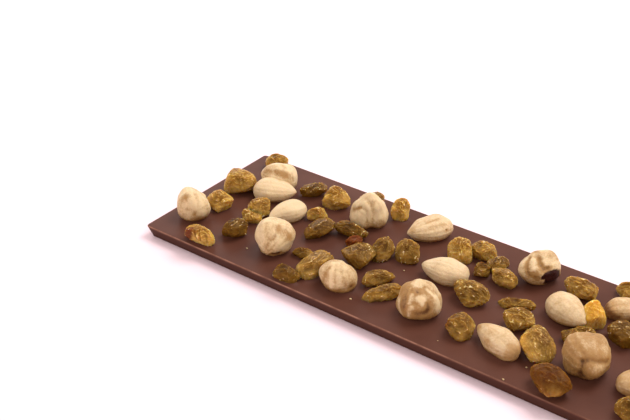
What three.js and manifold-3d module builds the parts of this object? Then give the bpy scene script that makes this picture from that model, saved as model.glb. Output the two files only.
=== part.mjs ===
// A flat bar of milk chocolate with whole blanched hazelnuts, blanched almonds and golden
// sultanas pressed into its top face.
// Millimetres. The origin is the middle of the underside, +X runs along the bar, +Y across it
// and +Z up.
import * as THREE from 'three';
import { mergeVertices } from 'three/addons/utils/BufferGeometryUtils.js';
import Module from 'manifold-3d';

const wasm = await Module();
wasm.setup();

// Driving dimensions of the chocolate
const barLength = 200;
const barWidth = 70;
const barThickness = 4.8;
const sideInset = 1.4; // the moulded sides slope in by this much from the top face to the underside
const cornerRadius = 1.2;
const cornerSteps = 3;
const arrisDrop = 0.4; // the top edge is rounded over this height
const arrisIn = 0.3;

// Driving dimensions of the toppings
const gap = 0.3; // air between a topping and the chocolate, and between two toppings
const sunk = { hazelnut: 1.2, almond: 0.9, sultana: 0.7 }; // depth pressed into the chocolate
const facets = {
  hazelnut: { round: 14, along: 9 },
  almond: { round: 12, along: 9 },
  sultana: { round: 10, along: 7 },
};
const tipPower = { hazelnut: 0.6, almond: 0.74 }; // 0.5 is a round end, more is a sharper tip
const basePower = { hazelnut: 0.46, almond: 0.5 };
const furrowWidth = 0.4; // radians round the nut
const lump = [0.11, 0.08, 0.06]; // a sultana's lumps, as parts of its half width

const colours = { chocolate: 0x6b473c, hazelnut: 0xdfb788, almond: 0xeac796, sultana: 0xa0702c };
const roughness = { chocolate: 0.45, hazelnut: 0.6, almond: 0.6, sultana: 0.35 };

// Every topping lies at a place (x, y) on the top face. Its heading is the way its tip points,
// in degrees from +X towards +Y, and its lean is how far the tip is lifted. A size is length,
// width and height. Furrows are the angles round the nut, in degrees from its side, where a
// crease runs from tip to base, and depth is how deep they are. Point takes the place of the
// usual tip power.
const hazelnuts = [
  { at: [-90.2, -19.3], heading: 155, lean: 35, size: [13.5, 13, 12.5], point: 0.68 },
  { at: [-78, 17], heading: -150, lean: 10, size: [14.5, 12.5, 11.5], furrows: [100], depth: 0.05 },
  { at: [-51, -19.5], heading: -65, lean: -10, size: [15, 14.5, 13], furrows: [75, 200], depth: 0.09 },
  { at: [-34.2, 16], heading: -45, lean: 78, size: [15.5, 14, 13.5], point: 0.8, furrows: [80, 280],
    depth: 0.12 },
  { at: [-19.5, -24], heading: -166, lean: 5, size: [13.5, 11.5, 11], furrows: [60], depth: 0.04 },
  { at: [11.2, -20.1], heading: 133, lean: 75, size: [13.5, 15, 13.5], point: 0.75, furrows: [230, 300],
    depth: 0.08 },
  { at: [33.5, 21], heading: -115, lean: 5, size: [16, 12.5, 12], furrows: [60, 150], depth: 0.14 },
  { at: [69, -15], heading: -45, lean: -5, size: [15, 14.5, 13.5], furrows: [50, 110], depth: 0.1 },
  { at: [84.5, 14], heading: 20, lean: 25, size: [14, 13.5, 12.5], furrows: [90], depth: 0.08 },
];

const almonds = [
  { at: [-74.3, 9.8], heading: 27, lean: 0, size: [17, 12, 8.5] },
  { at: [-60.6, 0.2], heading: -112, lean: 0, size: [15.5, 10.5, 7.5] },
  { at: [-11.5, 22], heading: -121, lean: 0, size: [18, 12, 8.5] },
  { at: [7.5, 2], heading: -172, lean: 0, size: [17.5, 11.5, 8.5] },
  { at: [41.5, -21.5], heading: 161, lean: 0, size: [18.5, 9.5, 8.5] },
  { at: [52.3, 6], heading: -23, lean: 0, size: [17, 11.5, 9] },
  { at: [87.3, -13.3], heading: 40, lean: 0, size: [17, 10, 8] },
  { at: [67, 20], heading: 43, lean: 0, size: [15.5, 9, 7] },
  { at: [92, 26], heading: 75, lean: 0, size: [16.5, 10, 7.5] },
];

// A sultana may also narrow towards its tip (taper) and curve along its length (bend). Two that
// have stuck together carry the second one as "stuck".
const sultanas = [
  { at: [-89.5, 29.5], heading: 54, lean: 0, size: [9, 8, 6] },
  { at: [-89, 6], heading: 8, lean: 0, size: [12.5, 11.5, 9.5] },
  { at: [-85.7, -8.7], heading: 11, lean: 0, size: [10.5, 8.5, 6.5] },
  { at: [-76.2, -31.1], heading: -3, lean: 0, size: [12.5, 7.2, 7] },
  { at: [-70.5, -3.5], heading: 100, lean: 0, size: [11.5, 7, 7],
    stuck: { at: [-70.5, -9], heading: -12, lean: 0, size: [8, 7, 6] } },
  { at: [-68.8, -20], heading: 76, lean: 0, size: [10.5, 8.5, 6] },
  { at: [-63.5, 20.5], heading: 54, lean: 0, size: [11, 7, 5.5] },
  { at: [-51.5, 18.8], heading: 18, lean: 0, size: [11.5, 9, 7.5] },
  { at: [-51.5, 7], heading: 11, lean: 0, size: [7.5, 7, 5.5] },
  { at: [-44.5, -1.5], heading: 79, lean: 0, size: [13, 8, 6] },
  { at: [-34.5, 5], heading: -1, lean: 0, size: [13, 7.5, 5.5],
    stuck: { at: [-30, 0.5], heading: 72, lean: 0, size: [7, 5, 4.5] } },
  { at: [-22, -8], heading: -50, lean: 0, size: [13, 11, 7], taper: 0.3 },
  { at: [-17.7, 0.5], heading: 95, lean: 30, size: [10, 7.5, 7], taper: 0.25 },
  { at: [-9.5, 5], heading: 103, lean: 30, size: [10, 8, 7] },
  { at: [-40, 30], heading: 11, lean: 0, size: [6, 6, 6] },
  { at: [-27.5, 27], heading: 119, lean: 60, size: [9, 7, 6], taper: 0.2 },
  { at: [5, 16.3], heading: 100, lean: 35, size: [10, 9, 7], taper: 0.15 },
  { at: [11.5, 21.5], heading: -4, lean: 0, size: [9.5, 8, 6.5] },
  { at: [17, 12], heading: 63, lean: 0, size: [6.5, 6, 5],
    stuck: { at: [19.5, 18], heading: 68, lean: 0, size: [8.5, 5.5, 5.5] } },
  { at: [26, 11], heading: -15, lean: 0, size: [11.5, 7, 6.5] },
  { at: [21.5, -3.5], heading: -4, lean: 0, size: [12.5, 10, 7.5], taper: 0.2 },
  { at: [36, 2], heading: 20, lean: 0, size: [13, 5.5, 4] },
  { at: [41.5, -7.5], heading: 2, lean: 0, size: [10.5, 8.5, 6.5] },
  { at: [28, -22], heading: 6, lean: 0, size: [10.5, 9.5, 7] },
  { at: [53.2, -16.5], heading: -55, lean: -8, size: [15, 11.5, 8] },
  { at: [64.2, -29.8], heading: -4, lean: 0, size: [14, 9, 7.5] },
  { at: [60, 8.2], heading: 112, lean: 45, size: [10, 9.5, 6.5], taper: 0.35 },
  { at: [58.2, -3.9], heading: 82, lean: 0, size: [6, 5.5, 5],
    stuck: { at: [61, 0], heading: 25, lean: 0, size: [7.5, 6, 5] } },
  { at: [50, 20.5], heading: -1, lean: 0, size: [12.5, 8, 7] },
  { at: [63.5, 30.5], heading: 11, lean: 0, size: [9.5, 7, 6] },
  { at: [72, 6], heading: 0, lean: 0, size: [11, 9, 7] },
  { at: [89.5, -27], heading: 6, lean: 0, size: [9.5, 8, 6.5] },
  { at: [-30.5, -21.5], heading: 76, lean: 8, size: [15, 9.5, 7] },
  { at: [-40, -16.5], heading: 25, lean: 0, size: [8, 5, 4] },
  { at: [-36.5, -31], heading: -3, lean: 0, size: [12, 6.5, 5] },
  { at: [-9, -14], heading: 63, lean: 0, size: [13, 6, 6], bend: -0.5 },
  { at: [-3, -20.3], heading: 58, lean: 10, size: [15.5, 6, 5], bend: -0.4 },
  { at: [79.5, 28.5], heading: 150, lean: 0, size: [11, 8, 6.5] },
  { at: [94, 4], heading: 80, lean: 0, size: [12, 7.5, 6], bend: -0.3 },
  { at: [87, -3], heading: 35, lean: 0, size: [9.5, 8, 6.5] },
];

const degrees = Math.PI / 180;

// A number from 0 to 1 that is always the same for one sultana (index) and one use of it.
function spread(index, use) {
  return (index * 0.618034 + use * 0.754878) % 1;
}

// How wide a nut is at a share s of its length, from the tip (0) to the base (1), with its
// widest place as 1.
function ovalWidth(s, tip, base) {
  const widest = tip / (tip + base);
  const most = widest ** tip * (1 - widest) ** base;
  return (s ** tip * (1 - s) ** base) / most;
}

// Where the surface of a nut lies at an angle from its tip and an angle round its length.
function nutPoint(kind, topping, size, fromTip, round) {
  const share = (1 - Math.cos(fromTip)) / 2;
  let wide = ovalWidth(share, topping.point ?? tipPower[kind], basePower[kind]);
  let crease = 0;
  for (const furrow of topping.furrows ?? []) {
    const away = THREE.MathUtils.euclideanModulo(round - furrow * degrees + Math.PI, 2 * Math.PI) - Math.PI;
    crease += topping.depth * Math.exp(-((away / furrowWidth) ** 2));
  }
  wide *= 1 - crease;
  return [
    (size[0] / 2) * Math.cos(fromTip),
    (size[1] / 2) * wide * Math.cos(round),
    (size[2] / 2) * wide * Math.sin(round),
  ];
}

// The same for a sultana, which is lumpy all over.
function sultanaPoint(topping, index, size, fromTip, round) {
  const along = Math.cos(fromTip);
  const turn = (use) => 2 * Math.PI * spread(index, use);
  const lumps = 1
    + lump[0] * Math.cos(2 * round + turn(1) + 1.5 * along)
    + lump[1] * Math.cos(3 * round + turn(2) - 2 * along)
    + lump[2] * Math.cos(3.2 * along + turn(3) + round);
  const wide = Math.sin(fromTip) * (1 - (topping.taper ?? 0) * along) * lumps;
  const curve = (topping.bend ?? 0) * (along * along - 0.4);
  return [
    (size[0] / 2) * along,
    (size[1] / 2) * wide * Math.cos(round),
    (size[2] / 2) * (wide * Math.sin(round) + curve),
  ];
}

// A closed shape made from a ball by moving each of its points. A shape that is grown is larger
// by that much all round.
function toppingGeometry(kind, topping, index, grown) {
  const { round, along } = facets[kind];
  const ball = new THREE.SphereGeometry(1, round, along);
  const points = ball.attributes.position;
  const size = topping.size.map((length) => length + 2 * grown);
  for (let i = 0; i < points.count; i += 1) {
    const fromTip = Math.acos(THREE.MathUtils.clamp(points.getY(i), -1, 1));
    const angle = Math.atan2(points.getX(i), points.getZ(i));
    const point = kind === 'sultana'
      ? sultanaPoint(topping, index, size, fromTip, angle)
      : nutPoint(kind, topping, size, fromTip, angle);
    points.setXYZ(i, ...point);
  }
  return ball;
}

// A topping turned to its lean and heading, and lowered until it is sunk in the chocolate.
function toppingMatrix(kind, topping, index) {
  const shape = toppingGeometry(kind, topping, index, 0);
  const turned = new THREE.Matrix4()
    .makeRotationZ(topping.heading * degrees)
    .multiply(new THREE.Matrix4().makeRotationY(-topping.lean * degrees));
  shape.applyMatrix4(turned);
  shape.computeBoundingBox();
  const lift = barThickness - sunk[kind] - shape.boundingBox.min.z;
  return turned.setPosition(topping.at[0], topping.at[1], lift);
}

function solidFrom(geometry) {
  const bare = geometry.clone();
  bare.deleteAttribute('normal');
  bare.deleteAttribute('uv');
  const merged = mergeVertices(bare);
  const solid = new wasm.Manifold(new wasm.Mesh({
    numProp: 3,
    vertProperties: new Float32Array(merged.attributes.position.array),
    triVerts: new Uint32Array(merged.index.array),
  }));
  return solid;
}

function geometryFrom(solid) {
  const mesh = solid.getMesh();
  const geometry = new THREE.BufferGeometry();
  geometry.setAttribute('position', new THREE.BufferAttribute(mesh.vertProperties, 3));
  geometry.setIndex(new THREE.BufferAttribute(mesh.triVerts, 1));
  geometry.computeVertexNormals();
  return geometry;
}

function toppingSolid(kind, topping, index, grown) {
  const shape = toppingGeometry(kind, topping, index, grown);
  return solidFrom(shape.applyMatrix4(toppingMatrix(kind, topping, index)));
}

// Two sultanas that have stuck together are one piece.
function wholeSolid(kind, topping, index, grown) {
  const first = toppingSolid(kind, topping, index, grown);
  return topping.stuck ? first.add(toppingSolid(kind, topping.stuck, index + 0.5, grown)) : first;
}

function largestOf(solid) {
  return solid.decompose().reduce((most, piece) => (piece.volume() > most.volume() ? piece : most));
}

// The outline of the bar, drawn in from the top edge by a distance, at a height.
function barRing(inset, height) {
  const halfLength = barLength / 2 - inset;
  const halfWidth = barWidth / 2 - inset;
  const outline = new THREE.Path();
  const corners = [[1, 1, 0], [-1, 1, 1], [-1, -1, 2], [1, -1, 3]];
  for (const [side, end, quarter] of corners) {
    outline.absarc(
      side * (halfLength - cornerRadius),
      end * (halfWidth - cornerRadius),
      cornerRadius,
      quarter * 90 * degrees,
      (quarter + 1) * 90 * degrees,
    );
  }
  const points = outline.getPoints(cornerSteps);
  points.pop();
  return points.map((point) => [point.x, point.y, height]);
}

// A closed shape through outlines that lie one above another.
function loft(rings) {
  const count = rings[0].length;
  const positions = rings.flat(2);
  const faces = [];
  for (let level = 0; level < rings.length - 1; level += 1) {
    for (let i = 0; i < count; i += 1) {
      const next = (i + 1) % count;
      const low = level * count;
      const high = low + count;
      faces.push(low + i, low + next, high + next, low + i, high + next, high + i);
    }
  }
  const top = (rings.length - 1) * count;
  for (let i = 1; i < count - 1; i += 1) {
    faces.push(0, i + 1, i);
    faces.push(top, top + i, top + i + 1);
  }
  const geometry = new THREE.BufferGeometry();
  geometry.setAttribute('position', new THREE.Float32BufferAttribute(positions, 3));
  geometry.setIndex(faces);
  return geometry;
}

function material(name) {
  return new THREE.MeshStandardMaterial({ color: colours[name], roughness: roughness[name], metalness: 0 });
}

const bar = new THREE.Group();
bar.name = 'chocolate_bar';

// The toppings, nuts first. A later one is dented where it presses on an earlier one.
const toppings = [
  ...hazelnuts.map((topping, i) => ({ kind: 'hazelnut', topping, number: i + 1 })),
  ...almonds.map((topping, i) => ({ kind: 'almond', topping, number: i + 1 })),
  ...sultanas.map((topping, i) => ({ kind: 'sultana', topping, number: i + 1 })),
];
const placed = [];
let chocolate = solidFrom(loft([
  barRing(sideInset, 0),
  barRing(0, barThickness - arrisDrop),
  barRing(arrisIn, barThickness),
]));
for (const { kind, topping, number } of toppings) {
  const grown = wholeSolid(kind, topping, number, gap);
  let solid = wholeSolid(kind, topping, number, 0);
  for (const neighbour of placed) {
    solid = solid.subtract(neighbour);
  }
  solid = largestOf(solid);
  placed.push(grown);
  chocolate = chocolate.subtract(grown);
  const [x, y] = topping.at;
  const mesh = new THREE.Mesh(geometryFrom(solid.translate([-x, -y, -barThickness])), material(kind));
  mesh.position.set(x, y, barThickness);
  mesh.name = `${kind}_${String(number).padStart(2, '0')}`;
  bar.add(mesh);
}

const slab = new THREE.Mesh(geometryFrom(chocolate), material('chocolate'));
slab.name = 'chocolate';
bar.add(slab);

export default bar;
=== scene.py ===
"""A flat bar of milk chocolate whose top face is set with whole blanched hazelnuts, blanched
almonds and golden sultanas. Shapes are worked out in millimetres, and become metres when their
mesh is made. The middle of the underside is the origin, +X runs along the bar and +Z up."""

import bpy
import numpy as np
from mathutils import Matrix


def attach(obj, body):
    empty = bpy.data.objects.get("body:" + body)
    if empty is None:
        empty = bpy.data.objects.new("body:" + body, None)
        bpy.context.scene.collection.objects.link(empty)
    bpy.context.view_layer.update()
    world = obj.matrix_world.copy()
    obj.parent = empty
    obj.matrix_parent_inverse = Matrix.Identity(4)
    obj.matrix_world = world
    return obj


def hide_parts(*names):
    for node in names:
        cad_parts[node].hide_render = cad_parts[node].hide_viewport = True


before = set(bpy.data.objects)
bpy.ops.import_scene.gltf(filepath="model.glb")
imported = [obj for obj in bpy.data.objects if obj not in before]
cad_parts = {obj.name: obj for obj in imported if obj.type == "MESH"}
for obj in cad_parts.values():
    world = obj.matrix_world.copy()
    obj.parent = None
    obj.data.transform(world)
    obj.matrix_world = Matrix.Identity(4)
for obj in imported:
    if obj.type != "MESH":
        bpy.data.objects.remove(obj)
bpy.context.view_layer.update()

# ---------------------------------------------------------------------------------------------
# The poured chocolate. Milk chocolate is poured nearly 5 mm deep into a flat mould whose sides
# slope outwards, so the open face on top is the larger one. Its surface is a grid of heights,
# which stays soft while the toppings below are pressed into it.

BAR_LENGTH = 200.0
BAR_WIDTH = 70.0
THICKNESS = 4.8
CORNER_RADIUS = 1.2
CORNER_STEPS = 4
ARRIS_IN = 0.3  # the top edge is rounded over this width
ARRIS_DOWN = 0.4  # and this height
BAR_HALF = np.array([BAR_LENGTH, BAR_WIDTH]) / 2
FACE_HALF = BAR_HALF - ARRIS_IN
SURFACE_STEP = 0.55
SWELL_HEIGHT = 0.05  # of the long, low waves in the open face
SWELL_LENGTH = 28.0
SWELL_SEED = 3
CALM_WIDTH = 2.0  # the waves die out over this width at the edge
CREEP_HEIGHT = 0.8  # how far the chocolate climbs up a topping
CREEP_WIDTH = 0.8
CREEP_BAND = 0.35  # a skin's points this near to the open face are on its waterline
CREEP_REACH = 3.0  # nothing rises further away than this
CREEP_FADE = 1.5  # at the bar's edge the rise dies out over this width
DRIFT_WAVES = 14
DRIFT_RATES = (0.6, 1.5)  # the fewest and the most waves in one pitch


def drift(points, pitch, seed):
    """Smooth waves that never repeat. They are the sum of DRIFT_WAVES sine waves, each running
    its own way through space at its own rate. The sum is divided by the square root of 1.5 times
    their number, so that it mostly lies between -1 and 1."""
    draw = np.random.default_rng(seed)
    ways = draw.normal(size=(DRIFT_WAVES, 3))
    ways /= np.linalg.norm(ways, axis=1, keepdims=True)
    rates = 2 * np.pi / pitch * draw.uniform(*DRIFT_RATES, DRIFT_WAVES)
    starts = draw.uniform(0, 2 * np.pi, DRIFT_WAVES)
    waves = np.sin(points @ (ways * rates[:, None]).T + starts)
    return waves.sum(-1) / np.sqrt(1.5 * DRIFT_WAVES)


def places_across(half):
    """Places from -half to half, close together over the rounded corners of the open face."""
    corner = np.linspace(0, CORNER_RADIUS, CORNER_STEPS + 1)[:-1]
    flat = half - CORNER_RADIUS
    middle = np.linspace(-flat, flat, int(round(2 * flat / SURFACE_STEP)) + 1)
    return np.concatenate([-half + corner, middle, (half - corner)[::-1]])


def round_corners(at):
    """Draws the grid in at its corners. What lies in the square at a corner is moved towards the
    middle of that corner's arc, by its larger offset over its distance."""
    past = np.abs(at) - (FACE_HALF - CORNER_RADIUS)
    in_corner = (past > 0).all(-1, keepdims=True)
    distance = np.where(in_corner, np.linalg.norm(past, axis=-1, keepdims=True), 1)
    drawn = past.max(-1, keepdims=True) / distance
    return np.where(in_corner, np.sign(at) * (np.abs(at) - past * (1 - drawn)), at)


grid_places = np.meshgrid(places_across(FACE_HALF[0]), places_across(FACE_HALF[1]), indexing="ij")
surface_at = round_corners(np.stack(grid_places, -1))
to_edge = (FACE_HALF - np.abs(surface_at)).min(-1)
surface = np.concatenate([surface_at, np.full((*to_edge.shape, 1), THICKNESS)], -1)
calm = 1 - np.exp(-to_edge / CALM_WIDTH)
swell = SWELL_HEIGHT * calm * drift(surface, SWELL_LENGTH, SWELL_SEED)
creep = np.zeros_like(swell)


def creep_up(skin):
    """Raises the soft chocolate round a topping. Near the line where the skin of the topping
    passes through the open face, it stands CREEP_HEIGHT high, and falls off as exp(-d/width)."""
    flat = skin.reshape(-1, 3)
    line = flat[np.abs(flat[:, 2] - THICKNESS) < CREEP_BAND][:, :2]
    low, high = line.min(0) - CREEP_REACH, line.max(0) + CREEP_REACH
    near = ((surface_at > low) & (surface_at < high)).all(-1)
    away = np.sqrt(((surface_at[near][:, None] - line[None]) ** 2).sum(-1).min(1))
    risen = CREEP_HEIGHT * np.exp(-away / CREEP_WIDTH)
    creep[near] = np.maximum(creep[near], risen * np.clip(to_edge[near] / CREEP_FADE, 0, 1))


# ---------------------------------------------------------------------------------------------
# The hazelnuts. They are whole roasted kernels without their skins, cream with tan in the
# creases, each with its pointed end (tip) and its flatter base. Creases run from tip to base.
# Painted shade darkens their creases and lower half, and, with a film of chocolate, their foot.

HAZELNUT_SUNK = 1.2
HAZELNUT_FORM = (0.6, 0.46)  # the powers tip and base of oval_width
HAZELNUT_SEED = 100
NUT_ROUND, NUT_ALONG = 84, 60  # grid steps round a kernel and along it
CREASE_WIDTH = 0.4  # radians round the kernel
LUMP_HEIGHT = 0.28  # of the low lumps all over a kernel
LUMP_LENGTH = 7.0
LINE_HEIGHT = 0.1  # of the fine lines from tip to base, which are waves on a tube
LINE_PITCH = 2.2
LINE_TUBE = 6.0  # the radius of that tube
LINE_DRAWN_OUT = 0.6  # its length for each radian from the tip
FOOT_STEEP = 0.25
RAGGED = 0.14  # how far the edge of a mark wanders, as a share of its reach
RAGGED_LENGTH = 2.5
SKIN_STEP = 0.35  # the seed skin lies this much lower than the flesh beside it
SKIN_EDGE = 2.0  # degrees over which it thins out
TRACK_STEPS = 12
LUMP_TONE = 0.07  # how much browner a lump is than the kernel's toast
LINE_STREAK_AND_SHADE = 0.08  # the same for the hollow of a fine line, partly a tan streak and partly painted shade
UNDER_SHADE = 0.45  # painted shade, browner on the lower half of a kernel
FOOT_SMEAR_AND_SHADE = 0.7  # and at the foot, for a film of chocolate together with painted contact shade
FOOT_SHADE_HEIGHT = 1.1  # how far up that darkening at the foot reaches

# Every topping lies at a place (x, y). Its heading is the way its tip points, in degrees from +X
# towards +Y, and its lean is how far the tip is lifted. A size is length, width and height. tip
# stands in for the first power of the form. Creases are angles round the kernel in degrees, and
# depth is the share of its width that each takes off. Toast is how brown it is, from 0 to 1. A
# mark is a track of directions seen from the middle of the kernel, each one round from +X towards
# +Y and then up, followed by its reach in degrees, the millimetres it is cut in (less than 0 for
# a bump), and how much browner it is. skin holds tracks that the dark seed skin still covers.
# A browner mark in a cut-in crease is partly painted shade, and some paler marks are painted
# highlights.
HAZELNUTS = [
    dict(at=(-90.2, -19.3), heading=155, lean=35, size=(13.5, 13, 12.5), tip=0.68, toast=0.1,
         marks=[([(-100, 50)], 20, 0, 0.35), ([(-65, 15)], 11, 0.1, 0.25),
                ([(-45, 0)], 10, 0.25, 0.35), ([(155, 70), (-40, 15)], 5, -0.12, -0.15),
                ([(-15, -10)], 18, -0.7, -0.1), ([(90, 55), (45, 12)], 26, 1.4, 0),
                ([(170, 40)], 20, -0.5, 0)]),
    dict(at=(-78, 17), heading=-150, lean=10, size=(14.5, 12.5, 11.5), creases=(100,), depth=0.05,
         toast=0.05,
         marks=[([(-125, 30), (-80, 50), (-25, 35)], 17, 0.15, 0.35), ([(-80, 50)], 5, 0.2, 0.2),
                ([(-65, 40)], 4, 0.2, 0.2), ([(-25, 35)], 7, 0.15, 0.2),
                ([(5, 25), (0, 5)], 6, 0.35, 0.3), ([(35, 55), (10, 40)], 9, -0.3, -0.4)]),
    dict(at=(-51, -19.5), heading=-65, lean=-10, size=(15, 14.5, 13), creases=(75, 200),
         depth=0.09, toast=0.1,
         marks=[([(-50, 32), (-60, 20), (-75, -5)], 7, 0.8, 0.2), ([(-80, 20)], 13, 0.1, 0.15),
                ([(-48, 12), (-66, -8)], 5, 0.3, 0.2), ([(-57, -22), (-38, -25)], 7, 0.7, 0.8),
                ([(0, 20), (-15, 60)], 16, 0, 0.25), ([(45, 55)], 12, 0.4, 0)]),
    dict(at=(-34.2, 16), heading=-45, lean=78, size=(15.5, 14, 13.5), tip=0.8,
         creases=(80, 280), depth=0.06, toast=-0.06,
         marks=[([(64, 37)], 24, 1.0, 0), ([(-170, 37)], 24, 1.0, 0), ([(-90, -5)], 20, -0.6, -0.1),
                ([(-125, 0), (-115, 12), (-88, 30), (-65, 20), (-62, -20)], 6, 0.5, 0.3),
                ([(-90, 12), (-72, 0)], 5, 0.15, 0.15),
                ([(-75, 60), (-50, 45), (-38, 10), (-45, -20)], 7, 0.4, 0.25),
                ([(-100, 25)], 12, 0, 0.35), ([(-35, 50)], 9, 0.1, 0.3),
                ([(-110, 5)], 16, 0, 0.2), ([(-20, -20)], 12, 0, 0.3),
                ([(-45, -45)], 14, 0.5, 0.6), ([(-5, -15)], 16, -0.3, 0)]),
    dict(at=(-19.5, -24), heading=-166, lean=5, size=(13.5, 11.5, 11), creases=(60,), depth=0.04,
         toast=0.22,
         marks=[([(-125, 70), (-90, 50), (-75, -10)], 7, -0.2, -0.25),
                ([(-105, 60), (-112, 0)], 7, 0.1, 0.2), ([(-70, 55), (-62, -5)], 4, 0.1, 0.15),
                ([(-50, 40), (-45, 0)], 5, -0.12, -0.1), ([(-38, 45), (-32, 0)], 4, 0.1, 0.12),
                ([(64, 37)], 26, 1.1, 0), ([(5, -10)], 20, -0.5, 0), ([(-10, -10)], 10, 0.3, 0.6)]),
    dict(at=(11.2, -20.1), heading=133, lean=75, size=(13.5, 15, 13.5), tip=0.75,
         creases=(230, 300), depth=0.08, toast=0.36,
         marks=[([(64, 37)], 24, -0.8, -0.3), ([(-170, 37)], 24, -0.8, 0), ([(-60, 85)], 16, 0.6, 0.1),
                ([(-62, 38), (-44, 33)], 11, -0.2, -0.5), ([(-115, 0), (-120, 50)], 20, 0.05, 0.35),
                ([(-96, 45), (-92, 20)], 7, -0.15, -0.45), ([(-75, 70), (-20, 65)], 13, 0.1, 0.25),
                ([(-30, 22), (-28, 0)], 9, 0.3, 0.35), ([(-62, -8), (-45, -8)], 12, 0.4, 0.25),
                ([(10, 25), (5, -5)], 10, -0.3, -0.5), ([(-78, 8)], 8, -0.2, -0.3),
                ([(-84, 20), (-70, 20)], 5, 0.25, 0.1), ([(178, 83)], 16, 0, -0.5),
                ([(-132, 5), (-117, -28)], 10, 0, -0.5), ([(-131, 58), (-110, 40)], 5, 0, -0.3),
                ([(-102, 24), (-100, 2)], 5, 0, 0.3), ([(-88, -2), (-86, -25)], 5, 0, -0.3),
                ([(-32, 1), (-45, -5)], 10, 0, 0.3), ([(13, -24)], 16, 0, -0.5),
                ([(-4, 65), (3, 32)], 5, 0, -0.35), ([(-70, 58), (-40, 55)], 4, 0, 0.25)]),
    dict(at=(33.5, 21), heading=-115, lean=5, size=(16, 12.5, 12), creases=(60, 150), depth=0.14,
         toast=0.18,
         marks=[([(-130, 50), (-108, 25), (-92, 5)], 5, 0.35, 0.5), ([(-75, 8)], 13, 0.1, 0.45),
                ([(-85, 68), (-65, 45), (-50, 28), (-30, 28)], 9, 1.1, 0.45),
                ([(-65, 12)], 12, -0.6, -0.1), ([(-100, 50), (-85, 25)], 6, -0.3, -0.3),
                ([(-170, 25), (170, 65)], 12, 0, 0.3)],
         skin=[([(-42, 2), (-18, 6), (8, -8)], 17), ([(-25, -20), (5, -30)], 22)]),
    dict(at=(69, -15), heading=-45, lean=-5, size=(15, 14.5, 13.5), creases=(50,), depth=0.04,
         toast=0.44,
         marks=[([(-175, 42)], 22, -1.1, 0), ([(64, 38)], 22, -1.1, 0.05),
                ([(95, 60), (100, 75)], 9, 0.5, 0.1),
                ([(-76, 20), (-77, -20)], 8, 0.9, 0.28), ([(-42, -2)], 18, -0.5, -0.06),
                ([(-76, 20), (-62, 26), (-40, 21), (-5, 10)], 6, 0.6, 0.22),
                ([(-78, -30)], 12, 0.5, 0.3), ([(-135, -20), (-110, -25)], 14, -0.6, 0),
                ([(20, -15)], 18, -0.6, 0), ([(-115, 15)], 22, 0, 0.15)]),
    dict(at=(84.5, 14), heading=20, lean=25, size=(14, 13.5, 12.5), creases=(90,), depth=0.08,
         toast=0.35, marks=[([(-60, 50), (-40, 20)], 5, 0.35, 0.4)]),
]


def polar_grid(around, along):
    """Angles from the tip (0) to the base (pi), and round the piece."""
    from_tip = np.linspace(0, np.pi, along + 1)
    angle = np.arange(around) * 2 * np.pi / around
    return np.meshgrid(from_tip, angle, indexing="ij")


def oval_width(share, tip, base):
    """The width of a kernel at a share of its length from the tip: share to the power tip times
    the rest to the power base, with 1 as its largest. Low powers make blunt ends."""
    widest = tip / (tip + base)
    most = widest**tip * (1 - widest) ** base
    return share**tip * (1 - share) ** base / most


def kernel(spec, form, from_tip, angle):
    """A kernel's points. Its length follows cos(from_tip), its outline is oval_width, and each
    crease takes depth off its width as a bell curve of CREASE_WIDTH."""
    tip, base = form
    wide = oval_width((1 - np.cos(from_tip)) / 2, spec.get("tip", tip), base)
    cut = np.zeros_like(wide)
    for crease in spec.get("creases", ()):
        away = (angle - np.radians(crease) + np.pi) % (2 * np.pi) - np.pi
        cut += spec["depth"] * np.exp(-((away / CREASE_WIDTH) ** 2))
    wide = wide * (1 - cut)
    length, width, height = np.array(spec["size"]) / 2
    return np.stack(
        [length * np.cos(from_tip), width * wide * np.cos(angle), height * wide * np.sin(angle)], -1
    )


def outwards(points, size):
    """The way out of an oval of this size at each of the points."""
    way = points / (np.array(size) / 2) ** 2
    return way / np.linalg.norm(way, axis=-1, keepdims=True)


def laid(points, spec, sunk):
    """Tips the piece up by its lean, turns it to its heading, and lowers it at its place until
    it is sunk in the chocolate."""
    turn, tilt = np.radians([spec["heading"], spec["lean"]])
    tipped = np.array([[np.cos(tilt), 0, -np.sin(tilt)], [0, 1, 0], [np.sin(tilt), 0, np.cos(tilt)]])
    turned = np.array([[np.cos(turn), -np.sin(turn), 0], [np.sin(turn), np.cos(turn), 0], [0, 0, 1]])
    out = points @ (turned @ tipped).T
    return out + np.array([*spec["at"], THICKNESS - sunk - out[..., 2].min()])


def middle_of(skin):
    """The middle of the box round a piece."""
    flat = skin.reshape(-1, 3)
    return (flat.min(0) + flat.max(0)) / 2


def pressed(skin):
    """Steep sides where a piece sits in the chocolate. Below its middle it is widened about its
    upright axis by (1 + t squared) to the power FOOT_STEEP, with t from 0 at the middle to 1 at
    its lowest point."""
    centre = middle_of(skin)
    t = np.clip((centre[2] - skin[..., 2]) / (centre[2] - skin[..., 2].min()), 0, 1)
    wider = (1 + t**2) ** FOOT_STEEP
    out = skin.copy()
    out[..., :2] = centre[:2] + (skin[..., :2] - centre[:2]) * wider[..., None]
    return out


def ways_out(skin):
    """The directions from the middle of a piece to its points."""
    ways = skin - middle_of(skin)
    return ways / np.linalg.norm(ways, axis=-1, keepdims=True)


def at_foot(skin):
    """How much a point lies at its piece's foot, where it is darkened: on a kernel by a film of
    chocolate together with painted contact shade, on a sultana by painted contact shade. It is 1
    in the chocolate, and a bell curve of FOOT_SHADE_HEIGHT above it."""
    return np.exp(-((np.maximum(skin[..., 2] - THICKNESS, 0) / FOOT_SHADE_HEIGHT) ** 2))


def towards(azimuth, elevation):
    """The direction at two angles in degrees: round from +X towards +Y, and then up."""
    turn, up = np.radians([azimuth, elevation])
    return np.array([np.cos(up) * np.cos(turn), np.cos(up) * np.sin(turn), np.sin(up)])


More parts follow.
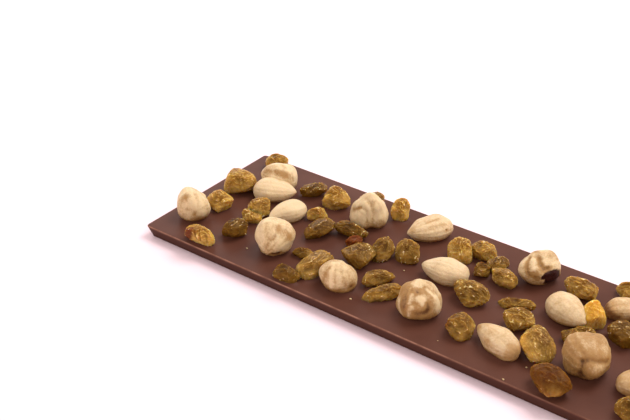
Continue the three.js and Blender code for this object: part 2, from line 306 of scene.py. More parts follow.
def off_track(ways, track):
    """The angle in degrees between each way out of a piece and the nearest point of a track,
    which runs straight from one of its directions to the next."""
    corners = np.array([towards(*step) for step in track])
    at = np.linspace(0, len(corners) - 1, TRACK_STEPS * len(corners))
    path = np.stack([np.interp(at, np.arange(len(corners)), corners[:, k]) for k in range(3)], -1)
    path /= np.linalg.norm(path, axis=1, keepdims=True)
    return np.degrees(np.arccos(np.clip((ways @ path.T).max(-1), -1, 1)))


def put(name, points, faces, values):
    """A piece from points in millimetres and their faces. values holds an array with a number
    for each point, by attribute name."""
    mesh = bpy.data.meshes.new(name)
    mesh.from_pydata(points / 1000, [], faces)
    for key, numbers in values.items():
        attribute = mesh.attributes.new(key, "FLOAT", "POINT")
        attribute.data.foreach_set("value", numbers.astype(np.float32))
    mesh.shade_smooth()
    piece = bpy.data.objects.new(name, mesh)
    bpy.context.scene.collection.objects.link(piece)
    return piece


def ends_once(grid):
    """A grid's entries as one list, with its first and last rows taken as one entry each."""
    return np.concatenate([grid[0, :1], grid[1:-1].reshape(-1, *grid.shape[2:]), grid[-1, :1]])


def closed_skin(name, grids, values):
    """One piece of closed skins. Each grid runs from tip to base and round, and its first and
    last rows are one point each. values holds a grid of numbers for each of them, by name."""
    faces, start = [], 0
    for grid in grids:
        rows, cols = grid.shape[:2]
        rings = np.arange((rows - 2) * cols).reshape(rows - 2, cols) + start + 1
        after = np.roll(rings, -1, 1)
        quads = np.stack([rings[:-1], rings[1:], after[1:], after[:-1]], -1).reshape(-1, 4)
        last = start + 1 + (rows - 2) * cols
        tip = np.stack([np.full(cols, start), rings[0], after[0]], -1)
        base = np.stack([np.full(cols, last), after[-1], rings[-1]], -1)
        faces += quads.tolist() + tip.tolist() + base.tolist()
        start = last + 1
    points = np.concatenate([ends_once(grid) for grid in grids])
    flat = {key: np.concatenate([ends_once(n) for n in numbers]) for key, numbers in values.items()}
    return put(name, points, faces, flat)


class Finish:
    """A material's nodes. Each way of adding nodes returns the output that they end in."""

    def __init__(self, name):
        self.material = bpy.data.materials.new(name)
        self.material.use_nodes = True
        self.tree = self.material.node_tree
        self.shader = self.tree.nodes["Principled BSDF"]

    def join(self, node, inputs):
        """Sets each of the node's inputs to its value, or links it to an output."""
        for key, value in inputs.items():
            socket = node.inputs[key]
            if isinstance(value, bpy.types.NodeSocket):
                self.tree.links.new(value, socket)
            else:
                socket.default_value = value

    def add(self, kind, inputs=None, out=0, **settings):
        """A node of a kind, with its settings made and its inputs joined."""
        node = self.tree.nodes.new("ShaderNode" + kind)
        for key, value in settings.items():
            setattr(node, key, value)
        self.join(node, inputs or {})
        return node.outputs[out]

    def value(self, name):
        """The number of this name that the mesh holds at each point."""
        return self.add("Attribute", out="Fac", attribute_name=name)

    def total(self, first, second):
        return self.add("Math", {0: first, 1: second}, operation="ADD")

    def product(self, first, second):
        return self.add("Math", {0: first, 1: second}, operation="MULTIPLY")

    def blend(self, share, first, second):
        """first where share is 0, second where it is 1. Both are colours."""
        return self.add("Mix", {0: share, 6: first, 7: second}, out=2, data_type="RGBA")

    def spread(self, value, low, high, to_low=0.0, to_high=1.0):
        """Stretches low..high to to_low..to_high, with soft ends."""
        return self.add(
            "MapRange",
            {"Value": value, "From Min": low, "From Max": high, "To Min": to_low, "To Max": to_high},
            interpolation_type="SMOOTHSTEP",
        )

    def noise(self, size, detail=3.0, roughness=0.55):
        """Noise whose lumps are about size millimetres across."""
        return self.add(
            "TexNoise",
            {"Vector": self.add("TexCoord", out="Object"), "Scale": 1000 / size,
             "Detail": detail, "Roughness": roughness},
        )

    def mottle(self, noise, amount, from_level=0.3):
        """Noise stretched to -amount..amount, which it reaches at from_level and as far from 1."""
        return self.spread(noise, from_level, 1 - from_level, -amount, amount)

    def relief(self, height, depth, under=None):
        """Fine relief of a depth in millimetres, on top of another."""
        inputs = {"Height": height, "Distance": depth / 1000, "Strength": 1.0}
        if under is not None:
            inputs["Normal"] = under
        return self.add("Bump", inputs)


def paint(*rgb):
    """A colour given as it looks on a screen, 0 to 255, turned to amounts of light by the curve
    that screens use: a straight foot, and above it a power of 2.4."""
    level = np.array(rgb) / 255
    light = np.where(level <= 0.04045, level / 12.92, ((level + 0.055) / 1.055) ** 2.4)
    return (*light.tolist(), 1.0)


def kernel_finish(name, cream, tan, brown, seed_skin):
    """Dry, matt kernel flesh. Its colour runs from cream (0) over tan (0.5) to brown (1), by a value
    that holds the kernel's own colour with painted shade added to it, broken up by soft blotches
    and fine specks, and seed skin covers it where the skin value is 1."""
    finish = Finish(name)
    blotches = finish.mottle(finish.noise(size=2.6, detail=4.0, roughness=0.6), amount=0.08)
    specks = finish.mottle(finish.noise(size=0.7, roughness=0.6), amount=0.06, from_level=0.35)
    tone_and_shade = finish.total(finish.total(finish.value("tone_and_shade"), blotches), specks)
    flesh = finish.blend(finish.spread(tone_and_shade, 0.0, 0.5), cream, tan)
    flesh = finish.blend(finish.spread(tone_and_shade, 0.5, 1.0), flesh, brown)
    flesh = finish.blend(finish.value("skin"), flesh, seed_skin)
    pores = finish.noise(size=0.9, detail=4.0, roughness=0.65)
    finish.join(
        finish.shader,
        {"Base Color": flesh, "Roughness": 0.5, "Specular IOR Level": 0.35,
         "Subsurface Weight": 0.3, "Subsurface Radius": (1.0, 0.6, 0.3),
         "Subsurface Scale": 0.001, "Normal": finish.relief(pores, depth=0.26)},
    )
    return finish.material


hazelnut_flesh = kernel_finish(
    "hazelnut_flesh", cream=paint(223, 194, 149), tan=paint(168, 125, 70),
    brown=paint(104, 66, 30), seed_skin=paint(54, 14, 8),
)


def set_kernel(kind, number, spec, form, sunk, material, seed):
    """Works out one kernel, presses it into the chocolate, cuts its marks, and puts it in the
    place of its solid. Each mark moves the skin along the way out of the kernel by a bell curve
    of the angle from its track."""
    from_tip, angle = polar_grid(NUT_ROUND, NUT_ALONG)
    points = kernel(spec, form, from_tip, angle)
    share = np.sin(from_tip)
    lumps = drift(points, LUMP_LENGTH, seed)
    tube = [LINE_DRAWN_OUT * from_tip, LINE_TUBE * np.cos(angle), LINE_TUBE * np.sin(angle)]
    lines = drift(np.stack(tube, -1), LINE_PITCH, seed + 1)
    move = (LUMP_HEIGHT * lumps + LINE_HEIGHT * lines) * share
    points = points + move[..., None] * outwards(points, spec["size"])
    skin = pressed(laid(points, spec, sunk))
    ways = ways_out(skin)
    # The hollows of the fine lines are browner, partly as tan streaks and partly as painted shade.
    tone_and_shade = spec["toast"] + LUMP_TONE * lumps + LINE_STREAK_AND_SHADE * np.clip(-lines, -1, 1) * share
    # Painted shade: the lower half of a kernel is browner.
    tone_and_shade += UNDER_SHADE * np.clip(-ways[..., 2], 0, 1)
    ragged = 1 + RAGGED * drift(skin, RAGGED_LENGTH, seed + 2)
    cut = np.zeros_like(tone_and_shade)
    for track, reach, depth, brown in spec.get("marks", ()):
        bell = np.exp(-((off_track(ways, track) / (reach * ragged)) ** 2))
        cut += depth * bell
        tone_and_shade += brown * bell
    covered = np.zeros_like(tone_and_shade)
    for track, reach in spec.get("skin", ()):
        inside = (reach * ragged - off_track(ways, track)) / SKIN_EDGE
        covered = np.maximum(covered, np.clip(inside, 0, 1))
    cut += SKIN_STEP * covered
    skin = skin - cut[..., None] * ways
    # A film of chocolate together with painted contact shade: the kernel is browner at its foot.
    tone_and_shade += FOOT_SMEAR_AND_SHADE * at_foot(skin)
    creep_up(skin)
    name = f"{kind}_{number:02d}"
    piece = closed_skin(f"{name}_kernel", [skin], {"tone_and_shade": [tone_and_shade], "skin": [covered]})
    piece.data.materials.append(material)
    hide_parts(name)
    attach(piece, "root")


for number, spec in enumerate(HAZELNUTS, 1):
    set_kernel("hazelnut", number, spec, HAZELNUT_FORM, HAZELNUT_SUNK, hazelnut_flesh,
               HAZELNUT_SEED + number)

# ---------------------------------------------------------------------------------------------
# The almonds. They are whole kernels, blanched in hot water so that the skin slips off: smooth,
# flattened drops with a sharp tip and faint lines that run from it.

ALMOND_SUNK = 0.9
ALMOND_FORM = (0.74, 0.5)
ALMOND_SEED = 200

ALMONDS = [
    dict(at=(-74.3, 9.8), heading=27, lean=0, size=(17, 12, 8.5), toast=-0.06,
         marks=[([(-80, 10)], 25, 0, 0.15)]),
    dict(at=(-60.6, 0.2), heading=-112, lean=0, size=(15.5, 10.5, 7.5), toast=0.0),
    dict(at=(-11.5, 22), heading=-121, lean=0, size=(18, 12, 8.5), toast=0.15,
         marks=[([(5, 15)], 3, 0.2, 1.2), ([(-120, 10)], 9, 0, 0.3),
                ([(-100, 50), (40, 60)], 6, 0, 0.2), ([(-80, 35), (20, 30)], 4, 0, 0.2)]),
    dict(at=(7.5, 2), heading=-172, lean=0, size=(17.5, 11.5, 8.5), toast=0.05,
         marks=[([(-150, 50), (-20, 55)], 3, 0.06, 0.15)]),
    dict(at=(41.5, -21.5), heading=161, lean=0, size=(18.5, 9.5, 8.5), toast=0.2,
         marks=[([(170, 10)], 9, 0, 0.3), ([(-110, 15)], 20, 0, 0.2), ([(-25, 5)], 20, 0, 0.35)]),
    dict(at=(52.3, 6), heading=-23, lean=0, size=(17, 11.5, 9), toast=0.15),
    dict(at=(87.3, -13.3), heading=40, lean=0, size=(17, 10, 8), toast=0.4),
    dict(at=(67, 20), heading=43, lean=0, size=(15.5, 9, 7), toast=0.3,
         marks=[([(-150, 10), (-90, 0)], 14, 0.15, 0.7)]),
    dict(at=(92, 26), heading=75, lean=0, size=(16.5, 10, 7.5), toast=0.15),
]

almond_flesh = kernel_finish(
    "almond_flesh", cream=paint(219, 190, 147), tan=paint(184, 143, 90),
    brown=paint(126, 84, 44), seed_skin=paint(60, 30, 16),
)

for number, spec in enumerate(ALMONDS, 1):
    set_kernel("almond", number, spec, ALMOND_FORM, ALMOND_SUNK, almond_flesh,
               ALMOND_SEED + number)

# ---------------------------------------------------------------------------------------------
# The sultanas. They are seedless white grapes, dried until the skin has shrunk into deep winding
# wrinkles. The flesh is a clear amber jelly, so its edges glow and wet ridges glint. In the skin's
# colour this is painted light: a painted glow at the rims, painted shade on top and in the
# hollows, and painted highlights on the crests.

SULTANA_SUNK = 0.7
SULTANA_ROUND, SULTANA_ALONG = 120, 58
STEADY_STEPS = (0.618034, 0.754878)  # shares of a turn that hardly ever come round again
FLATS = 10  # flat places that the drying fruit was squashed to by its neighbours
FLAT_FROM, FLAT_TO = 0.7, 0.9  # where their planes lie, in half sizes from the middle
FLAT_PUSH = 0.8  # the share of what stands out past a plane that is pushed back
FLAT_SOFT = 0.06  # the softness of a flat place's edge, in half sizes
PLUMP = 1.05  # the squashed fruit swells by this
WANDER = 0.9  # how far the wrinkles wander from straight, and over what length
WANDER_LENGTH = 6.0
CREST_BLUNT = 0.004
HOLLOW_SHADE = 0.3  # how much darker than a crest the finest hollows are, as painted shade
PATCH_LENGTH = 5.0  # of the patches of thin and of red skin
GLOW_RIM, TOP_SHADE, GLOW_PATCH = 0.8, 0.65, 0.15  # painted glow at the rim, less painted shade on top, with patches
FOOT_GOLD, FOOT_RED = 0.2, 0.5  # less gold and more red at the foot, as painted contact shade
RED_DULLS = 1.2  # old red fruit loses the painted highlight on its crests by this

# The slow waves of a fruit's width: their height as a share of it, how many go round the fruit,
# and by how many radians they have turned between its middle and its tip.
SLOW_WAVES = ((0.11, 2, 1.5), (0.08, 3, -2), (0.06, 1, 3.2))

# Wrinkles of three sizes. Each is drawn out along the fruit, comes at a pitch, is cut in by a
# depth from its level, and has crests of a brightness and a width. That brightness is a painted
# highlight on the crests.
WRINKLES = (
    dict(drawn_out=0.55, pitch=7.5, depth=0.32, level=0.6, bright=0.25, width=0.25),
    dict(drawn_out=0.5, pitch=3.2, depth=0.3, level=0.4, bright=0.45, width=0.2),
    dict(drawn_out=0.35, pitch=1.15, depth=0.15, level=0.4, bright=0.6, width=0.22),
)

# gold runs from 0, dark olive brown, to 1, gold, and on to 2, bright orange gold. red is how far
# the skin has turned to the brown of old fruit. taper narrows a sultana towards its tip, and bend
# curves it. A mark is a track and its reach, as on a kernel, and then how much more gold and how
# much more red it has. Two that have stuck together carry the second one as stuck.
# Marks that add gold along a rim or at an end stand partly for painted glow and painted glints.
SULTANAS = [
    dict(at=(-89.5, 29.5), heading=54, lean=0, size=(9, 8, 6), gold=0.6),
    dict(at=(-89, 6), heading=8, lean=0, size=(12.5, 11.5, 9.5), gold=0.85,
         marks=[([(10, -10)], 30, -0.5, 0.35), ([(-95, 10)], 25, 0.2, 0)]),
    dict(at=(-85.7, -8.7), heading=11, lean=0, size=(10.5, 8.5, 6.5), gold=0.75),
    dict(at=(-76.2, -31.1), heading=-3, lean=0, size=(12.5, 7.2, 7), gold=1.0,
         marks=[([(-142, -15), (-132, 35)], 22, -1.1, 0.9), ([(-76, -8), (-95, 48)], 5, -0.7, 0.2),
                ([(-50, -8), (-58, 58)], 5, -0.7, 0.2), ([(-24, -5), (-11, 55)], 5, -0.6, 0.1)]),
    dict(at=(-70.5, -3.5), heading=100, lean=0, size=(11.5, 7, 7), gold=0.65,
         stuck=dict(at=(-70.5, -9), heading=-12, lean=0, size=(8, 7, 6))),
    dict(at=(-68.8, -20), heading=76, lean=0, size=(10.5, 8.5, 6), gold=0.05),
    dict(at=(-63.5, 20.5), heading=54, lean=0, size=(11, 7, 5.5), gold=0.15),
    dict(at=(-51.5, 18.8), heading=18, lean=0, size=(11.5, 9, 7.5), gold=0.8,
         marks=[([(-60, -15)], 30, -0.4, 0.2)]),
    dict(at=(-51.5, 7), heading=11, lean=0, size=(7.5, 7, 5.5), gold=0.7),
    dict(at=(-44.5, -1.5), heading=79, lean=0, size=(13, 8, 6), gold=0.15),
    dict(at=(-34.5, 5), heading=-1, lean=0, size=(13, 7.5, 5.5), gold=0.1,
         stuck=dict(at=(-30, 0.5), heading=72, lean=0, size=(7, 5, 4.5), red=0.75)),
    dict(at=(-22, -8), heading=-50, lean=0, size=(13, 11, 7), taper=0.3, gold=0.3),
    dict(at=(-17.7, 0.5), heading=95, lean=30, size=(10, 7.5, 7), taper=0.25, gold=0.3),
    dict(at=(-9.5, 5), heading=103, lean=30, size=(9.8, 9.2, 7), gold=0.38),
    dict(at=(-40, 30), heading=11, lean=0, size=(6, 6, 6), gold=0.4),
    dict(at=(-27.5, 27), heading=119, lean=60, size=(9, 7, 6), taper=0.2, gold=0.9),
    dict(at=(5, 16.3), heading=100, lean=35, size=(10, 9, 7), taper=0.15, gold=0.75),
    dict(at=(11.5, 21.5), heading=-4, lean=0, size=(9.5, 8, 6.5), gold=0.55),
    dict(at=(17, 12), heading=63, lean=0, size=(6.5, 6, 5), gold=0.25,
         stuck=dict(at=(19.5, 18), heading=68, lean=0, size=(8.5, 5.5, 5.5))),
    dict(at=(26, 11), heading=-15, lean=0, size=(11.5, 7, 6.5), gold=0.55),
    dict(at=(21.5, -3.5), heading=-4, lean=0, size=(12.5, 10, 7.5), taper=0.2, gold=0.4,
         marks=[([(-140, -5), (-90, -25)], 18, 0.5, 0), ([(-60, 45)], 22, -0.3, 0.1),
                ([(5, -15)], 12, 0.8, 0)]),
    dict(at=(36, 2), heading=20, lean=0, size=(13, 5.5, 4), gold=0.35),
    dict(at=(41.5, -7.5), heading=2, lean=0, size=(10.5, 8.5, 6.5), gold=0.5),
    dict(at=(28, -22), heading=6, lean=0, size=(10.5, 9.5, 7), gold=0.45,
         marks=[([(-150, 10)], 32, -0.1, 0.55)]),
    dict(at=(53.2, -16.5), heading=-55, lean=-8, size=(15, 11.5, 8), gold=0.5,
         marks=[([(-150, 30), (-85, -10)], 20, 0.8, 0), ([(-20, 55)], 30, -0.2, 0.1)]),
    dict(at=(64.2, -29.8), heading=-4, lean=0, size=(14, 9, 7.5), gold=0.0, red=0.25,
         marks=[([(-50, -5)], 28, 0.5, 0), ([(-150, 60), (-60, 75)], 26, -0.3, 0.15)]),
    dict(at=(60, 8.2), heading=112, lean=45, size=(10, 9.5, 6.5), taper=0.35, gold=1.45,
         marks=[([(-35, -15)], 35, -0.45, 0.3)]),
    dict(at=(58.2, -3.9), heading=82, lean=0, size=(6, 5.5, 5), gold=0.35,
         stuck=dict(at=(61, 0), heading=25, lean=0, size=(7.5, 6, 5))),
    dict(at=(50, 20.5), heading=-1, lean=0, size=(12.5, 8, 7), gold=0.6),
    dict(at=(63.5, 30.5), heading=11, lean=0, size=(9.5, 7, 6), gold=0.65),
    dict(at=(72, 6), heading=0, lean=0, size=(11, 9, 7), gold=0.1),
    dict(at=(89.5, -27), heading=6, lean=0, size=(9.5, 8, 6.5), gold=0.25),
    dict(at=(-30.5, -21.5), heading=76, lean=8, size=(15, 9.5, 7), gold=0.5),
    dict(at=(-40, -16.5), heading=25, lean=0, size=(8, 5, 4), gold=0.2),
    dict(at=(-36.5, -31), heading=-3, lean=0, size=(12, 6.5, 5), gold=0.1),
    dict(at=(-9, -14), heading=63, lean=0, size=(13, 6, 6), bend=-0.5, gold=0.3),
    dict(at=(-3, -20.3), heading=58, lean=10, size=(15.5, 6, 5), bend=-0.4, gold=0.45),
    dict(at=(79.5, 28.5), heading=150, lean=0, size=(11, 8, 6.5), gold=0.5),
    dict(at=(94, 4), heading=80, lean=0, size=(12, 7.5, 6), bend=-0.3, gold=0.3),
    dict(at=(87, -3), heading=35, lean=0, size=(9.5, 8, 6.5), gold=0.6),
]


def lot(index, use):
    """A share of a turn that is always the same for one sultana and one use of it."""
    return (index * STEADY_STEPS[0] + use * STEADY_STEPS[1]) % 1


def dried_grape(spec, index, from_tip, angle):
    """A sultana before it wrinkles. Its width follows sin(from_tip) with the slow waves laid
    over it, and its middle is lifted by bend times (along squared - 0.4)."""
    along = np.cos(from_tip)
    waves = [
        height * np.cos(number_round * angle + turned * along + 2 * np.pi * lot(index, use))
        for use, (height, number_round, turned) in enumerate(SLOW_WAVES, 1)
    ]
    wide = np.sin(from_tip) * (1 - spec.get("taper", 0) * along) * (1 + sum(waves))
    curve = spec.get("bend", 0) * (along**2 - 0.4)
    length, width, height = np.array(spec["size"]) / 2
    return np.stack(
        [length * along, width * wide * np.cos(angle), height * (wide * np.sin(angle) + curve)], -1
    )


def squashed(points, size, seed):
    """Flat places with soft edges. In half sizes, what stands out past a plane is pushed back by
    FLAT_PUSH of its excess, and the excess is rounded off as ln(1 + exp(x))."""
    draw = np.random.default_rng(seed)
    half = np.array(size) / 2
    inner = points / half
    for _ in range(FLATS):
        way = draw.normal(size=3)
        way /= np.linalg.norm(way)
        past = inner @ way - draw.uniform(FLAT_FROM, FLAT_TO)
        excess = FLAT_SOFT * np.logaddexp(0, past / FLAT_SOFT)
        inner = inner - (FLAT_PUSH * excess)[..., None] * way
    return inner * half * PLUMP


def wrinkled(points, size, seed):
    """Winding wrinkles. Smooth waves n are folded down to -|n|, so narrow sharp crests run round
    broad hollows, at three sizes. |n| is the root of n squared plus CREST_BLUNT. Returns the
    points, and how near a crest each one is; by it the finish paints highlights on the crests and
    shade in the hollows."""
    wander = WANDER * np.stack([drift(points, WANDER_LENGTH, seed + k) for k in (1, 2, 3)], -1)
    move = np.zeros(points.shape[:-1])
    crest = np.zeros_like(move)
    for k, wrinkle in enumerate(WRINKLES, 4):
        place = points * np.array([wrinkle["drawn_out"], 1, 1]) + wander
        folded = np.sqrt(drift(place, wrinkle["pitch"], seed + k) ** 2 + CREST_BLUNT)
        move -= wrinkle["depth"] * (np.minimum(folded, 1) - wrinkle["level"])
        # Painted highlights: the crest value is high on a crest, and lowered in the hollows as painted
        # shade.
        crest += wrinkle["bright"] * np.exp(-((folded / wrinkle["width"]) ** 2))
    crest -= HOLLOW_SHADE * np.minimum(folded, 1)
    return points + move[..., None] * outwards(points, size), crest


def sultana(spec, gold, index):
    """One sultana, pressed into the chocolate. Returns its skin, and what its finish reads at
    each point: how near a crest it is, its painted glow (light at the rim, painted shade on top),
    and how gold and red it is."""
    seed = int(1000 * index)
    from_tip, angle = polar_grid(SULTANA_ROUND, SULTANA_ALONG)
    points = squashed(dried_grape(spec, index, from_tip, angle), spec["size"], seed + 9)
    points, crest = wrinkled(points, spec["size"], seed)
    skin = pressed(laid(points, spec, SULTANA_SUNK))
    creep_up(skin)
    ways = ways_out(skin)
    patchy = drift(skin, PATCH_LENGTH, seed + 8)
    # Painted glow and shade: lighter at the rim, as if lit through, and darker on top.
    painted_glow = GLOW_RIM - TOP_SHADE * np.clip(ways[..., 2], 0, 1) + GLOW_PATCH * patchy
    foot = at_foot(skin)
    old = spec.get("red", 0)
    # Painted contact shade: less gold and more red at the foot.
    gold = gold - FOOT_GOLD * foot
    red = old + FOOT_RED * foot * np.clip(patchy, 0, 1)
    for track, reach, more_gold, more_red in spec.get("marks", ()):
        bell = np.exp(-((off_track(ways, track) / reach) ** 2))
        gold += more_gold * bell
        red += more_red * bell
    # Old red fruit gets less painted highlight on its crests.
    crest = crest * (1 - RED_DULLS * old)
    return skin, {"crest": crest, "painted_glow": painted_glow, "gold": gold, "red": np.clip(red, 0, 1)}


def sultana_finish():
    """Clear amber flesh under a fine skin, with light and shade painted into its colour. The
    flesh is deep in the middle and on top and light at the rim, as a painted glow, and near its
    crests it is lighter, as painted highlights. gold takes it from olive brown to yellow and on to
    orange, and red to the brown of old fruit. The brightest crests get a cream painted glint."""
    finish = Finish("sultana_skin")
    ripe = finish.total(finish.value("gold"), finish.mottle(finish.noise(size=3.5), amount=0.15))
    ripe = finish.spread(ripe, 0.0, 1.0)
    deep = finish.blend(ripe, paint(66, 37, 7), paint(130, 86, 26))
    light = finish.blend(ripe, paint(118, 82, 26), paint(208, 167, 89))
    # Painted glow and shade: the flesh runs from deep on top to light at the rim.
    painted_glow = finish.total(finish.value("painted_glow"), finish.mottle(finish.noise(size=1.8), amount=0.1))
    flesh = finish.blend(finish.spread(painted_glow, 0.0, 1.2), deep, light)
    grain = finish.noise(size=0.6, roughness=0.6)
    grains = finish.mottle(grain, amount=0.2, from_level=0.35)
    near = finish.total(finish.value("crest"), grains)
    # Painted highlights: near a crest the skin turns to the light colour.
    skin = finish.blend(finish.spread(near, 0.0, 0.8, to_high=0.75), flesh, light)
    orange = finish.spread(finish.value("gold"), 1.0, 2.0)
    skin = finish.blend(orange, skin, paint(236, 172, 60))
    skin = finish.blend(finish.value("red"), skin, paint(108, 48, 20))
    # Painted glints: the brightest crests turn cream.
    skin = finish.blend(finish.spread(near, 0.75, 1.1, to_high=0.8), skin, paint(246, 224, 170))
    relief = finish.relief(grain, depth=0.14)
    relief = finish.relief(finish.noise(size=0.4, detail=2.0), depth=0.05, under=relief)
    finish.join(
        finish.shader,
        {"Base Color": skin, "Roughness": 0.24, "Specular IOR Level": 0.07,
         "Specular Tint": (1.0, 0.85, 0.5, 1.0),
         "Subsurface Weight": 1.0, "Subsurface Radius": (1.0, 0.7, 0.2),
         "Subsurface Scale": 0.004, "Normal": relief},
    )
    return finish.material


sultana_skin = sultana_finish()

for number, spec in enumerate(SULTANAS, 1):
    fruits = [sultana(spec, spec["gold"], number)]
    if "stuck" in spec:
        fruits.append(sultana(spec["stuck"], spec["gold"], number + 0.5))
    skins = [skin for skin, _ in fruits]
    values = {key: [read[key] for _, read in fruits] for key in ("crest", "painted_glow", "gold", "red")}
    name = f"sultana_{number:02d}"
    piece = closed_skin(f"{name}_fruit", skins, values)
    piece.data.materials.append(sultana_skin)
    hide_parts(name)
    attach(piece, "root")

# ---------------------------------------------------------------------------------------------
# The set chocolate. With every topping in its place the surface is fixed. The body goes from the
# open face over a rounded top edge, with a painted highlight along it, and down the sloping side,
# painted darker as shade, to the underside.

WIDEST_AT = THICKNESS - ARRIS_DOWN  # the height of the bar's widest line
SIDE_SLOPE = 1.4  # the side runs in by this on its way down
FOOT_ROUND = 0.25  # the rounding where the side meets the underside
FOOT_LEAD = 0.08  # the side still has this to run in where that rounding starts
ROUND_STEPS = 5
SIDE_STEPS = 6
EDGE_HIGHLIGHT_WIDTH = 0.17  # of the painted highlight along the top edge
EDGE_HIGHLIGHT_IN = 0.2  # it doesn't fade until this far in from the bar's outline
EDGE_HIGHLIGHT_FROM, EDGE_HIGHLIGHT_TO = 20.0, 60.0  # between these places along the bar
EDGE_HIGHLIGHT_LEFT = 0.35  # it fades to this share of its strength
SIDE_SHADE_EDGE = 0.3  # height over which the side's painted shade begins


def border_of(grid):
    """The grid's rim, once round, anticlockwise from above."""
    return np.concatenate([grid[:, 0], grid[-1, 1:], grid[-2::-1, -1], grid[0, -2:0:-1]])


def side_ring(rim, inset, height):
    """The rim moved in by a distance from the bar's widest line. The straight stretches
    shrink and the corners keep their arcs, as in a mould cut with one round cutter."""
    top = FACE_HALF - CORNER_RADIUS
    now = BAR_HALF - inset - CORNER_RADIUS
    core = np.clip(rim, -top, top)
    return np.concatenate([core / top * now + (rim - core), np.full((len(rim), 1), height)], 1)


surface[..., 2] += swell + creep
rows, cols = surface.shape[:2]
rim = border_of(surface_at)
quarter = np.radians(np.linspace(0, 90, ROUND_STEPS + 1)[1:])
rings = [
    side_ring(rim, ARRIS_IN * (1 - np.sin(t)), THICKNESS - ARRIS_DOWN * (1 - np.cos(t)))
    for t in quarter
]
for share in np.linspace(0, 1, SIDE_STEPS + 1)[1:]:
    height = WIDEST_AT * (1 - share) + FOOT_ROUND * share
    rings.append(side_ring(rim, SIDE_SLOPE * (1 - height / WIDEST_AT), height))
for t in quarter:
    inset = SIDE_SLOPE + FOOT_ROUND * (1 - np.cos(t)) - FOOT_LEAD * np.cos(t)
    rings.append(side_ring(rim, inset, FOOT_ROUND * (1 - np.sin(t))))
points = np.concatenate([surface.reshape(-1, 3), *rings, [[0, 0, 0]]])

face_index = np.arange(rows * cols).reshape(rows, cols)
open_face = np.stack(
    [face_index[:-1, :-1], face_index[1:, :-1], face_index[1:, 1:], face_index[:-1, 1:]], -1
).reshape(-1, 4)
count = len(rim)
below = rows * cols + np.arange(len(rings) * count).reshape(-1, count)
ring_index = np.concatenate([border_of(face_index)[None], below])
after = np.roll(ring_index, -1, 1)
sides = np.stack([ring_index[:-1], ring_index[1:], after[1:], after[:-1]], -1).reshape(-1, 4)
underside = np.stack([np.full(count, len(points) - 1), after[-1], ring_index[-1]], -1)

# A painted highlight along the top edge, weaker towards the right end.
inside = np.maximum(0, (BAR_HALF - np.abs(points[:, :2])).min(-1) - EDGE_HIGHLIGHT_IN)
from_arris = np.abs(points[:, 2] - (THICKNESS - ARRIS_DOWN / 2)) + inside
strength = np.interp(points[:, 0], [EDGE_HIGHLIGHT_FROM, EDGE_HIGHLIGHT_TO], [1, EDGE_HIGHLIGHT_LEFT])
edge_highlight = strength * np.exp(-((from_arris / EDGE_HIGHLIGHT_WIDTH) ** 2))
# The side below the widest line gets painted shade.
painted_side_shade = np.clip((WIDEST_AT - points[:, 2]) / SIDE_SHADE_EDGE, 0, 1)
bar = put("chocolate_bar", points, open_face.tolist() + sides.tolist() + underside.tolist(),
          {"edge_highlight": edge_highlight, "painted_side_shade": painted_side_shade})

finish = Finish("milk_chocolate")
cloud = finish.spread(finish.noise(size=22), 0.3, 0.7)
body = finish.blend(cloud, paint(82, 47, 35), paint(92, 55, 42))
# Painted shade: the side is darker than the open face.
body = finish.blend(finish.value("painted_side_shade"), body, paint(72, 40, 29))
# Painted highlight: the top edge turns light, broken up by noise.
highlight_breaks = finish.spread(finish.noise(size=4), 0.25, 0.7, to_low=0.35)
painted_edge_light = finish.product(finish.value("edge_highlight"), highlight_breaks)
body = finish.blend(painted_edge_light, body, paint(178, 130, 106))
grain = finish.noise(size=1.1, detail=4.0)
finish.join(
    finish.shader,
    {"Base Color": body, "Roughness": 0.5, "Specular IOR Level": 0.1,
     "Normal": finish.relief(grain, depth=0.02)},
)
bar.data.materials.append(finish.material)
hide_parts("chocolate")
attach(bar, "root")

# ---------------------------------------------------------------------------------------------
# A few crumbs of chopped nut, about half a millimetre across, which stuck to the open face while
# it was soft. Each is a lumpy oval, flat on the chocolate.

CRUMBS = [(-59.5, -24.7, 0.3), (-11.2, -27.7, 0.34), (-6.4, -2.3, 0.26), (50.9, -34.0, 0.3),
          (53.8, -24.5, 0.28), (-33.5, -27.5, 0.15), (24.5, -29.5, 0.15)]  # x, y, half size
CRUMB_ROUND, CRUMB_ALONG = 14, 9
CRUMB_FORM = np.array([1.2, 0.8, 0.6])  # half its length, width and height, in half sizes
CRUMB_LIFT = 0.4  # how high its middle lies, in half sizes
CRUMB_LUMPS = 0.25
CRUMB_LUMP_LENGTH = 1.4  # in half sizes
CRUMB_SEED = 500
CRUMB_TONE = 0.2

grids = []
for seed, (x, y, half) in enumerate(CRUMBS, CRUMB_SEED):
    from_tip, angle = polar_grid(CRUMB_ROUND, CRUMB_ALONG)
    round_it = [np.sin(from_tip) * np.cos(angle), np.sin(from_tip) * np.sin(angle)]
    ball = np.stack([*round_it, np.cos(from_tip)], -1)
    ball *= (1 + CRUMB_LUMPS * drift(ball, CRUMB_LUMP_LENGTH, seed))[..., None]
    grids.append(ball * half * CRUMB_FORM + np.array([x, y, THICKNESS + CRUMB_LIFT * half]))
crumbs = closed_skin("crumbs", grids, {"tone_and_shade": [np.full(g.shape[:2], CRUMB_TONE) for g in grids]})
crumbs.data.materials.append(hazelnut_flesh)
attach(crumbs, "root")

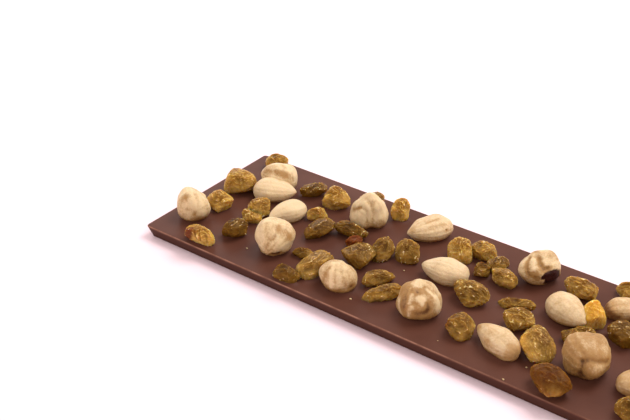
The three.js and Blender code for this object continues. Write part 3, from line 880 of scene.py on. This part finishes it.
# ---------------------------------------------------------------------------------------------
# The table and the light, in metres. The bar lies on a pale sheet. The main light stands behind
# it, so it throws a short shadow towards the camera, and a white card lightens its left end.

TABLE_SIZE = 6.0
TABLE_COLOUR = (0.93, 0.73, 0.76, 1)
ROOM_COLOUR = (1.0, 0.95, 0.95, 1)
ROOM_LIGHT = 1.05

bpy.ops.mesh.primitive_plane_add(size=TABLE_SIZE, location=(0, 0, 0))
table = bpy.context.object
table.name = "table"
finish = Finish("pale_sheet")
finish.join(
    finish.shader, {"Base Color": TABLE_COLOUR, "Roughness": 0.9, "Specular IOR Level": 0.0}
)
table.data.materials.append(finish.material)

world = bpy.data.worlds.new("soft_room")
bpy.context.scene.world = world
world.use_nodes = True
world.node_tree.nodes["Background"].inputs["Color"].default_value = ROOM_COLOUR
world.node_tree.nodes["Background"].inputs["Strength"].default_value = ROOM_LIGHT


def stand(name, data, place, turn):
    """Puts a light or a camera at its place, turned by three angles in degrees."""
    thing = bpy.data.objects.new(name, data)
    thing.location = place
    thing.rotation_euler = np.radians(turn)
    bpy.context.scene.collection.objects.link(thing)
    return thing


def soft_light(name, size, power, place, turn):
    """A round light of a size across and a power in watts."""
    light = bpy.data.lights.new(name, "AREA")
    light.shape = "DISK"
    light.size = size
    light.energy = power
    stand(name, light, place, turn)


soft_light("window", 0.45, 3.4, place=(0.128, 0.352, 0.65), turn=(30, 0, 160))
soft_light("white_card", 0.35, 0.9, place=(-0.6, 0.5, 0.376), turn=(62, 0, 225))

# ---------------------------------------------------------------------------------------------
# The camera. It stands in front of the bar and past its right end. It looks 30.8 degrees down,
# and 37.3 degrees to the left of straight across, so that the right end runs out of its picture.

SENSOR_WIDTH = 36.0  # this and the lens are in millimetres
LENS = 66.35
NEAREST = 0.01

view = bpy.data.cameras.new("camera")
view.sensor_width = SENSOR_WIDTH
view.lens = LENS
view.clip_start = NEAREST
camera = stand("camera", view, place=(0.1739, -0.2910, 0.2317), turn=(59.19, 0, 37.252))
bpy.context.scene.camera = camera
bpy.context.scene.view_settings.view_transform = "Standard"
